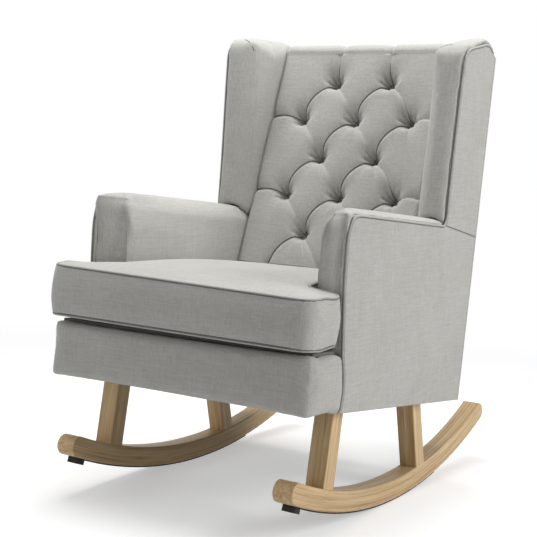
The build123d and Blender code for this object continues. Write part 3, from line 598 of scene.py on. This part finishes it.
# The deck cloth is darkened to the cover's tone in shade: painted shade.
DECK_CLOTH_SHADED = speckled("deck_cloth_painted_shade", linear(122, 121, 118), linear(104, 103, 100), 500, 0.92, 0.2)
ZIP_TAPE = speckled("zip_tape", linear(178, 178, 172), linear(150, 150, 145), 900, 0.85, 0.2)
ZIP_METAL = speckled("zip_metal", linear(188, 188, 190), linear(160, 160, 164), 400, 0.28, 0.5, 1.0)

CARRIED_OVER = [
    (("front_leg",), FRONT_LEG_OAK),
    (("rear_leg",), REAR_LEG_OAK),
    (("rocker_left", "rocker_right"), ROCKER_OAK),
    (("anti_tip_stop", "grip_strip"), RUBBER),
    (("leg_bolts", "rocker_screws", "stop_screws", "seat_springs"), STEEL),
    (("spring_clips",), STEEL),
    (("back_webbing",), WEBBING),
    (("dust_cover",), DUST_CLOTH),
    (("seat_deck",), DECK_CLOTH_SHADED),
    (("cushion_zip",), ZIP_TAPE),
    (("zip_slider", "zip_pull"), ZIP_METAL),
]


def finish_frame_nodes():
    for name, node in NODES.items():
        material = next((m for starts, m in CARRIED_OVER if name.startswith(starts)), BEECH)
        node.data.materials.clear()
        node.data.materials.append(material)


# --- tufted back -----------------------------------------------------------------------------------------
def rake(z):
    return RAKE_FOOT + RAKE_SLOPE * z


def button_places():
    for row in range(-1, 4):
        for shift in (-0.5, 0.5) if row % 2 else (-1.0, 0.0, 1.0):
            yield shift * PITCH_X, BUTTON_Z + row * PITCH_Z


def arched(a, b, bulge):
    """Points from a to b along a line that bows by bulge millimetres, upwards and outwards."""
    (ax, az), (bx, bz) = a, b
    out = Vector((-(bz - az), bx - ax)).normalized()
    if out.y < 0:
        out = -out
    found = []
    for k in range(13):
        t = k / 12
        lift = bulge * sin(pi * t)
        found.append((ax + (bx - ax) * t + out.x * lift, az + (bz - az) * t + out.y * lift))
    return found


def pleats():
    """Every pleat as (points, depth at its ends, depth at its middle, gentle width, steep width)."""
    half = PITCH_X / 2
    found = []
    for row in range(-1, 4):
        z = BUTTON_Z + row * PITCH_Z
        for shift in (-0.5, 0.5) if row % 2 else (-1.0, 0.0, 1.0):
            x = shift * PITCH_X
            for side in (-1, 1):
                foot = x + side * half
                if abs(foot) > 1.1 * PITCH_X:
                    continue
                if side < 0 or foot > 0.9 * PITCH_X:
                    found.append((arched((x, z), (foot, z - PITCH_Z), 17.0), 22.0, 11.0, 20.0, 4.0))
                else:
                    found.append((arched((x, z), (foot, z - PITCH_Z), 9.0), 20.0, 6.0, 24.0, 12.0))
        if row % 2 == 0:
            for side in (-1, 1):
                edge = (side * PAD_HALF, z + 4)
                found.append((arched((side * PITCH_X, z), edge, 6.0), 19.0, 10.0, 16.0, 4.0))
    for side in (-1, 1):
        top = BUTTON_Z + 3 * PITCH_Z
        over = arched((side * half, top), (side * half * 1.06, BACK_TOP + 80), 7.0)
        found.append((over, 20.0, 8.0, 12.0, 4.0))
    return found


def pleat_drop(x, z):
    """How far the pleats pull the cover in at each point."""
    total = np.zeros_like(x)
    for points, end_depth, middle_depth, gentle, steep in pleats():
        nearest = np.full_like(x, 1e9)
        along = np.zeros_like(x)
        above = np.zeros_like(x)
        count = len(points) - 1
        for k in range(count):
            (ax, az), (bx, bz) = points[k], points[k + 1]
            dx, dz = bx - ax, bz - az
            t = np.clip(((x - ax) * dx + (z - az) * dz) / (dx * dx + dz * dz), 0, 1)
            px, pz = x - ax - t * dx, z - az - t * dz
            distance = np.hypot(px, pz)
            closer = distance < nearest
            nearest = np.where(closer, distance, nearest)
            along = np.where(closer, (k + t) / count, along)
            side = np.sign(px * -dz + pz * dx) * (1 if dx > 0 else -1)
            above = np.where(closer, side, above)
        share = np.abs(2 * along - 1) ** 2.2
        if points[-1][1] > BACK_TOP:
            share = np.clip(1 - along * 3, 0, 1) ** 2
        depth = middle_depth + (end_depth - middle_depth) * share
        width = np.where(above > 0, gentle, steep)
        total = total + (depth * np.exp(-nearest / width)) ** 3
    return total


def well_drop(x, z):
    """How far the buttons pull the cover in: steep below each button, sloping above it."""
    total = np.zeros_like(x)
    for bx, bz in button_places():
        dx, dz = x - bx, z - bz
        r = np.hypot(dx, dz) + 1e-6
        up = dz / r
        width = 11.0 + 9.0 * np.clip(up, 0, 1) - 5.5 * np.clip(-up, 0, 1)
        fall = np.exp(-np.clip(r - BUTTON_R, 0, None) / width)
        gather = 1 + 0.2 * np.cos(9 * np.arctan2(dx, dz)) * np.exp(-((r - 19) / 12) ** 2)
        total = total + (WELL_DEPTH * fall * gather) ** 3
    return total


def pad_profile():
    """The middle line of the back's cover: up the front face, over the top and down to the rear cover."""
    def face(z):
        return BUTTON_FACE_Y - PAD_PROUD + BUTTON_SLOPE * (z - BUTTON_Z)
    roll = 27.0
    rear_y = rake(BACK_TOP) - 2
    points = [(face(PAD_FOOT), PAD_FOOT), (face(BACK_TOP - roll), BACK_TOP - roll)]
    middle_y = points[1][0] + roll * 0.96
    start = radians(180 - 16)
    for k in range(1, 10):
        a = start + (radians(90) - start) * k / 9
        points.append((middle_y + roll * cos(a), BACK_TOP - roll + roll * sin(a)))
    small = 17.0
    for k in range(0, 9):
        a = radians(90) * (1 - k / 8)
        points.append((rear_y - small + small * cos(a), BACK_TOP - small + small * sin(a)))
    points.append((rear_y, BACK_TOP - 2 * small + 4))
    return points


def pad_line():
    """Distances up the pad's middle line, its places and its directions."""
    path = np.array([(p.y, p.z) for p in resampled([Vector((0, y, z)) for y, z in pad_profile()], GRID_STEP)])
    tangent = evened(np.gradient(path, axis=0), False, 4)
    tangent /= np.linalg.norm(tangent, axis=1, keepdims=True)
    run = PAD_FOOT + np.concatenate([[0], np.cumsum(np.linalg.norm(np.diff(path, axis=0), axis=1))]) / 1.04
    return run, path, tangent


def pad_surface(across, height, line):
    """Depth and height of the cover, pulled in by its pleats, buttons and side seams."""
    run, path, tangent = line
    drop = np.cbrt(pleat_drop(across, height) + well_drop(across, height))
    over = np.clip((height - BACK_TOP - 4) / 40, 0, 1)
    edge = np.clip((np.abs(across) - (PAD_HALF - 16)) / 16, 0, 1)
    rounding = 1 - 0.75 * eased(height, BACK_TOP - 60, BACK_TOP)
    drop = drop + 13 * rounding * (1 - np.sqrt(np.clip(1 - edge ** 2, 0, 1)))
    drop = drop * (1 - 0.7 * over) - PUFF * (1 - over) * np.clip(1 - edge, 0, 1)
    y = np.interp(height, run, path[:, 0]) + np.interp(height, run, tangent[:, 1]) * drop
    z = np.interp(height, run, path[:, 1]) - np.interp(height, run, tangent[:, 0]) * drop
    return y, z


def tufted_pad():
    """The back's cover as one fine grid."""
    line = pad_line()
    rows = len(line[0])
    columns = round(2 * PAD_HALF / GRID_STEP)
    bm = bmesh.new()
    bmesh.ops.create_grid(bm, x_segments=columns, y_segments=rows - 1, size=1.0)
    across = np.array([v.co.x for v in bm.verts]) * PAD_HALF
    up = np.rint((np.array([v.co.y for v in bm.verts]) + 1) / 2 * (rows - 1)).astype(int)
    y, z = pad_surface(across, line[0][up], line)
    for vertex, a, b, c in zip(bm.verts, across, y, z):
        vertex.co = (a, b, c)
    border = [e for e in bm.edges if e.is_boundary]
    grown = bmesh.ops.extrude_edge_only(bm, edges=border)["geom"]
    for vertex in (g for g in grown if isinstance(g, bmesh.types.BMVert)):
        vertex.co.y = min(vertex.co.y + 30, rake(vertex.co.z) - SKIN)
        vertex.co.z = min(vertex.co.z, BACK_TOP - 26)
    bmesh.ops.holes_fill(bm, edges=[e for e in bm.edges if e.is_boundary], sides=0)
    pad = piece_from(bm, "tufted_back")
    return finish_piece(pad, COVER, stands_for=["back_pad"])


def pleat_fold_shade():
    """Painted shade: thin dark cords where the crisp pleats close, standing for the shadow in each fold."""
    line = pad_line()
    folds = []
    for points, _, _, _, steep in pleats():
        if steep > FOLD_STEEP:
            continue
        places = np.array([p[:] for p in resampled([(x, 0, z) for x, z in points], 4.0)])
        if places[-1, 2] < BACK_TOP:
            along = np.gradient(places, axis=0)
            across = np.column_stack([-along[:, 2], 0 * along[:, 0], along[:, 0]])
            across *= np.sign(across[:, 2:]) / np.linalg.norm(across, axis=1, keepdims=True)
            places += FOLD_SHADE_OFFSET * across * (along[:, :1] < 0)
        places = places[np.abs(places[:, 0]) < PAD_HALF - 3]
        places = places[places[:, 2] < line[0][-1] - 8]
        y, z = pad_surface(places[:, 0], places[:, 2], line)
        folds.append(np.column_stack([places[:, 0], y, z]))
    finish_piece(cord_piece("pleat_fold_shade", folds, FOLD_SHADE_R, sides=1), DEEP_SHADE_LINEN)


def covered_buttons():
    bm = bmesh.new()
    tilt = Matrix.Rotation(atan2(1, BUTTON_SLOPE), 4, "X")
    for x, z in button_places():
        y = BUTTON_FACE_Y + BUTTON_SLOPE * (z - BUTTON_Z)
        made = bmesh.ops.create_uvsphere(bm, u_segments=28, v_segments=14, radius=BUTTON_R)["verts"]
        bmesh.ops.scale(bm, verts=made, vec=(1, 1, 0.5))
        place = Matrix.Translation((x, y + BUTTON_SINK, z)) @ tilt
        bmesh.ops.transform(bm, verts=made, matrix=place)
    # The buttons are covered in the same linen but take its darker copy: painted shade for buttons sunk deep
    # in their wells.
    return finish_piece(
        piece_from(bm, "covered_buttons"), SHADE_LINEN, stands_for=["back_buttons"]
    )


# --- seat cushion ----------------------------------------------------------------------------------------
def is_top_rim(a, b):
    return max(a.z, b.z) > 0.8 and min(abs(a.z), abs(b.z)) < 0.5


def is_bottom_rim(a, b):
    return min(a.z, b.z) < -0.8 and min(abs(a.z), abs(b.z)) < 0.5


def settled(x, y, z):
    """The front edge has settled under use, and the two front ears thin out towards the arms."""
    upper = eased(z, 180, 235)
    lower = eased(z, 180, 140)
    front = eased(y, 160, 60)
    across = (x + 320) / 640
    ear = eased(np.abs(x), 225, 315) * eased(y, -5, 95)
    z = z + front * upper * (4 - 15 * across) + front * lower * (7 - 5 * across)
    return x, y, z + ear * (7 * lower - 8 * upper)


def boxing_bulge(cushion, top, bottom):
    """The front boxing swells between its two welts."""
    back = BODY.inverted()
    points = points_of(cushion.data)
    room = np.array(back)
    body = points @ room[:3, :3].T + room[:3, 3]
    normals = np.array([back.to_3x3() @ v.normal for v in cushion.data.vertices])
    normals /= np.linalg.norm(normals, axis=1, keepdims=True)
    near = []
    for ring in (top, bottom):
        places = np.array([p[:] for p in ring])
        near.append(np.min(np.linalg.norm(body[:, None, :] - places[None, :, :], axis=2), axis=1))
    share = near[1] / (near[0] + near[1])
    level = np.hypot(normals[:, 0], normals[:, 1])
    swell = BOXING_SWELL * np.sin(pi * share) * eased(level, 0.5, 0.95) * eased(body[:, 1], 112, 92)
    sideways = normals * (1, 1, 0) / level.clip(0.1)[:, None]
    forth = np.array(BODY)
    moved = body + sideways * swell[:, None]
    put_points(cushion.data, moved @ forth[:3, :3].T + forth[:3, 3])


def seat_cushion():
    solid = cad_bmesh("seat_cushion")
    solid.normal_update()
    top = resampled(rim(solid, is_top_rim), 8.0, closed=True)
    bottom = resampled(rim(solid, is_bottom_rim), 8.0, closed=True)
    solid.free()
    cushion = remeshed("seat_cushion", "seat_cushion_cover", CUSHION_VOXEL, 4)
    points = points_of(cushion.data)
    sewn = np.zeros(len(points), bool)
    for line in (top, bottom):
        for place in line:
            sewn |= np.linalg.norm(points - np.array(BODY @ place), axis=1) < 6.5 * MM
    inflate(cushion, 4.0, 11.0, sewn)
    boxing_bulge(cushion, top, bottom)
    soften(cushion, 2)
    sculpt(cushion, settled)
    top, bottom = (np.column_stack(settled(*np.array([p[:] for p in ring]).T)) for ring in (top, bottom))
    finish_piece(cushion, COVER, "cushion", ["seat_cushion"])
    welt("cushion_top_welt", top, [cushion], "cushion", closed=True)
    welt("cushion_bottom_welt", bottom, [cushion], "cushion", closed=True)


# --- arms, wings and covers ------------------------------------------------------------------------------
def side_edge(height):
    heights, places = zip(*SIDE_EDGE)
    return np.interp(height, heights, places)


def follow_side_edge(straight):
    """Bends a front edge that stands at straight (a function of y and z) to the side's own edge."""

    def shape(x, y, z):
        near = eased(np.abs(x), HALF - 45, HALF - 3) * eased(y, 40, 100) * eased(y, 230, 150)
        near = near * (1 - eased(z, 335, 375))
        return x, y + (side_edge(z) - straight(y, z)) * near, z

    return shape


def nose_place(z, radius):
    """How far a quarter-round top corner of this radius falls back at each height."""
    rise = np.clip((z - (ARM_EDGE - radius)) / radius, 0, 1)
    return radius * (1 - np.sqrt(1 - rise ** 2))


def arm_corner(x, y, z):
    """Fills the frame's long nose out to the tighter stuffed corner."""
    fuller = nose_place(z, ARM_NOSE_R) - nose_place(z, ARM_CORNER_R)
    return x, y - fuller * (1 - eased(y, 130, 330)), z


def arm_nose(x, y, z):
    """The arm's front is set back on its inner side, where its top leans out."""
    inner = eased(np.abs(x), HALF - 8, INNER_X + 18)
    back = np.interp(z, *zip(*INNER_NOSE))
    front = 1 - eased(y, 118, 400)
    lean = ARM_CROWN_IN * eased(z, 330, 400) * eased(np.abs(x), INNER_X + 40, INNER_X)
    return x + np.sign(x) * lean * front, y + back * inner * front, z


def ripples(x, y, z):
    """Faint upright ripples where the side's cover is pulled over its frame."""
    wave = np.sin(y / 17.0 + 2.2 * np.sin(z / 140.0)) + 0.7 * np.sin(y / 29.0 + z / 210.0 + 1.3)
    where = eased(z, 10, 120) * eased(z, 392, 330) * eased(y, 120, 180) * eased(y, 740, 690)
    return x + np.sign(x) * 0.7 * wave * where, y, z


def wing_set(x, y, z):
    """The wings flare towards their front edge, and their tops follow the stuffing."""
    front = eased(y, 760, 640)
    x = x + np.sign(x) * WING_FLARE * eased(z, 430, 830) * front
    crest = np.where(x < 0, WING_CREST["left"], WING_CREST["right"])
    lift = crest + (WING_REAR_LIFT - crest) * np.clip((y - WING_PIPING) / 150, 0, 1)
    lift = lift * eased(y, 815, 750)
    return x, y, z + lift * eased(z, 700, 835)


def wing_rear(x, y, z):
    """The thin padding over the frame's top corner is thickened and reaches the back's outer cover."""
    rear = eased(y, 740, 785)
    upper = eased(z, 831, 838)
    lower = eased(z, 834, 829) * eased(z, 790, 812)
    return x - np.sign(x) * 3 * rear, y + 11 * rear, z + rear * (10 * upper - 7 * lower)


def padded_cover(node, name, shapes, smoothing, pressure, cap, edge_radius=0.0):
    """A stuffed cover: even quads, blown up a little and then shaped."""
    pad = remeshed(node, name, PAD_VOXEL, smoothing, edge_radius)
    inflate(pad, pressure, cap)
    for shape in shapes:
        sculpt(pad, shape)
    return finish_piece(pad, COVER, stands_for=[node])


def panel_cover(node, name, shapes=(), edge_radius=3.5, step=11.0):
    """A cover drawn tight over board: crisp, with rounded edges."""
    bm = cad_bmesh(node)
    round_edges(bm, edge_radius)
    slice_up(bm, step)
    bmesh.ops.triangulate(bm, faces=bm.faces)
    panel = piece_from(bm, name)
    for shape in shapes:
        sculpt(panel, shape)
    return finish_piece(panel, COVER, stands_for=[node])


def border_roll(x, y, z):
    """The border's top edge rolls under the cushion."""
    rise = np.clip((z - (BORDER_HEIGHT - BORDER_ROLL)) / BORDER_ROLL, 0, 1)
    return x, y + 0.5 * BORDER_ROLL * (1 - np.sqrt(1 - rise ** 2)) * (1 - eased(y, 10, 60)), z


def arm_edge(y, z):
    return np.full_like(z, ARM_FRONT)


def border_edge(y, z):
    return np.full_like(z, BORDER_DEPTH)


def panel_edge(y, z):
    """The panel's front edge steps from the border's end to the arm's front; the step itself is closed up."""
    edge = np.where(z > BORDER_HEIGHT, ARM_FRONT + 2, BORDER_DEPTH)
    on_step = (np.abs(z - BORDER_HEIGHT) < 5) & (y < BORDER_DEPTH + 5.5)
    return np.where(on_step, y, edge)


def covers():
    """The border and the back, then the covers of each side; gives what each side's welts lie on."""
    border = padded_cover(
        "front_border", "base_border", [border_roll, follow_side_edge(border_edge)],
        smoothing=12, edge_radius=7.0, pressure=2.5, cap=4.0,
    )
    back = panel_cover("back_panel", "outer_back")
    sides = {}
    for side in SIDES:
        arm = padded_cover(
            f"arm_pad_{side}", f"arm_cover_{side}", [arm_corner, arm_nose, follow_side_edge(arm_edge)],
            smoothing=8, pressure=2.0, cap=3.0,
        )
        wing = padded_cover(
            f"wing_pad_{side}", f"wing_cover_{side}", [wing_rear, wing_set],
            smoothing=10, pressure=2.5, cap=5.0,
        )
        shapes = [arm_corner, follow_side_edge(panel_edge), ripples]
        panel = panel_cover(f"side_panel_{side}", f"outer_side_{side}", shapes)
        outer = panel_cover(f"wing_panel_{side}", f"outer_wing_{side}", [wing_set])
        sides[side] = (border, arm, panel, wing, outer, back)
    return sides


def side_welt_path(sign):
    """Up the front edge of the base and arm, along the arm, up the wing and over its top."""
    x = sign * (HALF - 1)
    line = [(x, side_edge(z), z) for z in (0, 20, 40, 60, 80, 100, 120, 150, 180, 220, 260, 300, 330, 352)]
    for degrees_up in (20, 45, 70):
        turn = radians(degrees_up)
        fall = ARM_CORNER_R * (1 - cos(turn))
        line.append((x, ARM_FRONT + fall, ARM_EDGE - ARM_CORNER_R + ARM_CORNER_R * sin(turn)))
    line += [(x, y, ARM_EDGE) for y in (156, 220, 300, 420, 540, 575)]
    line += [(x, WING_PIPING, ARM_EDGE + 14)] + [(x, WING_PIPING, z) for z in range(440, 800, 60)]
    top = WING_TOP - SKIN
    for degrees_up in (20, 45, 70):
        turn = radians(degrees_up)
        line.append((x, WING_PIPING + WING_NOSE_R * (1 - cos(turn)), top - WING_NOSE_R * (1 - sin(turn))))
    line += [(x, y, top) for y in (640, 690, 740, 790)]
    points = np.array(resampled(line, 12.0))
    return [Vector(p) for p in np.column_stack(wing_set(*points.T))]


def seams(sides):
    for side, on in sides.items():
        sign = SIDES[side]
        welt(f"side_welt_{side}", side_welt_path(sign), on)
        panel = [(243, 126, 125), (243, 126, 300), (250, 128, 340), (262, 132, 380), (268, 138, 398)]
        panel += [(274, 150, 410), (290, 152, 408), (308, 146, 403), (321, 140, 398)]
        seam(f"arm_front_seam_{side}", [(sign * x, y, z) for x, y, z in panel], on, WELT)
        # the dart and the wing's seam are dark cords of painted shade
        dart = [(292, 600, 850), (276, 595, 838), (262, 592, 826), (250, 593, 811)]
        seam(f"wing_dart_shade_{side}", [(sign * x, y, z) for x, y, z in dart], on, DEEP_SHADE_LINEN)
        rear = rake(ARM_EDGE) - SKIN
        seam(f"wing_seam_shade_{side}", [(sign * HALF, 594, 398), (sign * HALF, rear, 381)], on, SHADE_LINEN)


# --- room ------------------------------------------------------------------------------------------------

FLOOR_GLOW = 0.40  # added to the floor where it is seen, straight or in a reflection
WORLD_LIGHT = 0.22  # how strongly the surroundings light the chair; where seen they are at 1


def camera():
    azimuth, elevation, roll = radians(30.148), radians(4.784), radians(3.0065)
    back = Vector((sin(azimuth) * cos(elevation), -cos(azimuth) * cos(elevation), sin(elevation)))
    right = Vector((cos(azimuth), sin(azimuth), 0))
    up = back.cross(right)
    right = right * cos(roll) + up * sin(roll)
    up = back.cross(right)
    lens = bpy.data.cameras.new("camera")
    lens.sensor_width = 36.0
    lens.lens = 75.37
    lens.shift_x = -0.0587
    lens.clip_start = 0.05
    lens.clip_end = 60
    eye = bpy.data.objects.new("camera", lens)
    turn = Matrix((right, up, back)).transposed()
    eye.matrix_world = Matrix.Translation((1.3501, -2.3124, 0.7281)) @ turn.to_4x4()
    bpy.context.scene.collection.objects.link(eye)
    bpy.context.scene.camera = eye


def seen_directly(nodes):
    """1 for rays that show the room itself, straight or in a reflection."""
    path = nodes.add("ShaderNodeLightPath").outputs
    seen = nodes.maths("MAXIMUM", path["Is Camera Ray"], path["Is Glossy Ray"])
    return nodes.maths("MAXIMUM", seen, path["Is Transmission Ray"])


def white_floor():
    material = bpy.data.materials.new("pale_floor")
    material.use_nodes = True
    n = Nodes(material.node_tree)
    shader = material.node_tree.nodes["Principled BSDF"]
    output = material.node_tree.nodes["Material Output"]
    where = n.add("ShaderNodeTexCoord").outputs["Object"]
    speck = n.noise(where, 60, 2)
    n.join(n.blend(speck, linear(228, 228, 228), linear(232, 232, 232)), shader.inputs["Base Color"])
    shader.inputs["Roughness"].default_value = 0.9
    shader.inputs["Specular IOR Level"].default_value = 0.1
    glow = n.add("ShaderNodeEmission")
    n.join(n.maths("MULTIPLY", seen_directly(n), FLOOR_GLOW), glow.inputs["Strength"])
    lit = n.add("ShaderNodeAddShader")
    n.join(shader.outputs[0], lit.inputs[0])
    n.join(glow.outputs[0], lit.inputs[1])
    white = n.add("ShaderNodeEmission")
    far = n.add("ShaderNodeVectorMath", operation="LENGTH")
    n.join(where, far.inputs[0])
    spread = n.maths("MULTIPLY", n.ramp(far.outputs["Value"], 1.1, 2.6), seen_directly(n))
    mix = n.add("ShaderNodeMixShader")
    n.join(spread, mix.inputs[0])
    n.join(lit.outputs[0], mix.inputs[1])
    n.join(white.outputs[0], mix.inputs[2])
    n.join(mix.outputs[0], output.inputs["Surface"])
    bm = bmesh.new()
    bmesh.ops.create_grid(bm, x_segments=2, y_segments=2, size=14.0)
    mesh = bpy.data.meshes.new("floor")
    bm.to_mesh(mesh)
    bm.free()
    floor = link("floor", mesh)
    mesh.materials.append(material)


def softbox(name, place, target, size, power):
    lamp = bpy.data.lights.new(name, "AREA")
    lamp.shape = "RECTANGLE"
    lamp.size, lamp.size_y = size
    lamp.energy = power
    stand = bpy.data.objects.new(name, lamp)
    stand.location = place
    aim = Vector(target) - Vector(place)
    stand.rotation_euler = aim.to_track_quat("-Z", "Y").to_euler()
    bpy.context.scene.collection.objects.link(stand)


def world_light():
    world = bpy.data.worlds.new("studio")
    bpy.context.scene.world = world
    world.use_nodes = True
    n = Nodes(world.node_tree)
    background = world.node_tree.nodes["Background"]
    strength = n.maths("MULTIPLY_ADD", seen_directly(n), 1 - WORLD_LIGHT, WORLD_LIGHT)
    n.join(strength, background.inputs["Strength"])
    background.inputs["Color"].default_value = (1, 1, 1, 1)


def studio():
    bpy.context.scene.view_settings.view_transform = "Standard"
    world_light()
    white_floor()
    middle = (0, 0, 0.55)
    softbox("key", (3.1, 0.3, 1.9), middle, (1.8, 1.8), 64)
    softbox("overhead", (-0.3, 0.12, 2.6), middle, (1.8, 1.8), 55)
    softbox("fill", (-1.35, -1.15, 0.95), (-0.2, -0.2, 0.45), (1.0, 1.0), 5.2)


def build():
    camera()
    studio()
    finish_frame_nodes()
    tufted_pad()
    pleat_fold_shade()
    covered_buttons()
    seat_cushion()
    seams(covers())


build()
